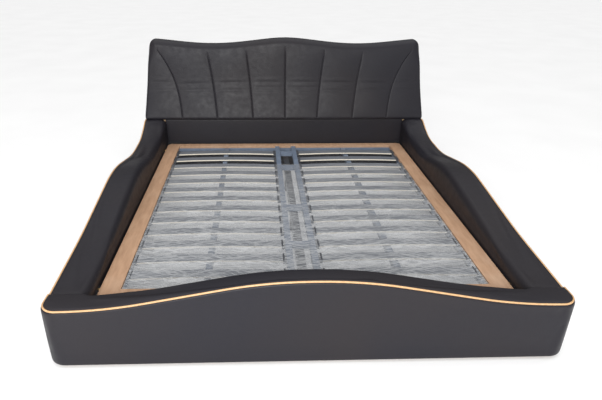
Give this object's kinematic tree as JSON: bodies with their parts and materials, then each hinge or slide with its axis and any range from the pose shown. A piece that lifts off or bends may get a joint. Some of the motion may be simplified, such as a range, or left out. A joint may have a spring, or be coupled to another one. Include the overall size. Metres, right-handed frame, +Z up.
{
  "type": "upholstered bed",
  "caption": "Upholstered double bed: wavy channelled headboard, curved padded side rails and footboard with light piping, and a lift-off slatted deck.",
  "frame": {"origin": "on the floor, at the middle of the bed's footprint", "axes": "+X to the right seen from the foot end, +Y towards the headboard, +Z up"},
  "size_m": [2.14, 2.34, 0.99],
  "materials": {
    "leather": "dark brown-black leather, fine grain, satin",
    "piping": "light gold piping",
    "plywood": "raw plywood",
    "deck_board": "tan veneered board",
    "slat_wood": "birch plywood, grey-filmed top, pale edges",
    "frame_steel": "blue-grey powder coat",
    "black_steel": "black powder coat",
    "brass": "yellow-passivated",
    "zinc": "zinc-plated",
    "plastic": "black polypropylene",
    "film": "clear polythene film, wrinkled"
  },
  "bodies": {
    "bed_frame": {"centre_beam": "black_steel", "centre_legs": "black_steel", "corner_bolts": "brass", "corner_brackets": "black_steel", "end_battens": "plywood", "footboard_core": "plywood", "footboard_front_cover": "leather", "footboard_pad": "leather", "footboard_piping": "piping", "glides": "plastic", "headboard_back_cover": "leather", "headboard_battens": "plywood", "headboard_cushion": "leather", "headboard_lower_panel": "leather", "headboard_panel": "plywood", "left_rail_core": "plywood", "left_rail_outer_cover": "leather", "left_rail_pad": "leather", "left_rail_piping": "piping", "right_rail_core": "plywood", "right_rail_outer_cover": "leather", "right_rail_pad": "leather", "right_rail_piping": "piping", "side_ledges": "black_steel"},
    "slat_deck": {"deck_foot_board": "deck_board", "deck_head_board": "deck_board", "deck_left_board": "deck_board", "deck_right_board": "deck_board", "deck_screws": "zinc", "slat_caps": "plastic", "slat_film": "film", "slat_frame_cross_tubes": "frame_steel", "slat_frame_inner_tubes": "frame_steel", "slat_frame_side_tubes": "frame_steel", "slat_left_01": "slat_wood", "slat_left_02": "slat_wood", "slat_left_03": "slat_wood", "slat_left_04": "slat_wood", "slat_left_05": "slat_wood", "slat_left_06": "slat_wood", "slat_left_07": "slat_wood", "slat_left_08": "slat_wood", "slat_left_09": "slat_wood", "slat_left_10": "slat_wood", "slat_left_11": "slat_wood", "slat_left_12": "slat_wood", "slat_left_13": "slat_wood", "slat_right_01": "slat_wood", "slat_right_02": "slat_wood", "slat_right_03": "slat_wood", "slat_right_04": "slat_wood", "slat_right_05": "slat_wood", "slat_right_06": "slat_wood", "slat_right_07": "slat_wood", "slat_right_08": "slat_wood", "slat_right_09": "slat_wood", "slat_right_10": "slat_wood", "slat_right_11": "slat_wood", "slat_right_12": "slat_wood", "slat_right_13": "slat_wood"}
  },
  "joints": [
    {"name": "deck_lift", "type": "slide", "parent": "bed_frame", "child": "slat_deck", "axis": [0, 0, 1], "range_m": [0, 0.45]}
  ]
}
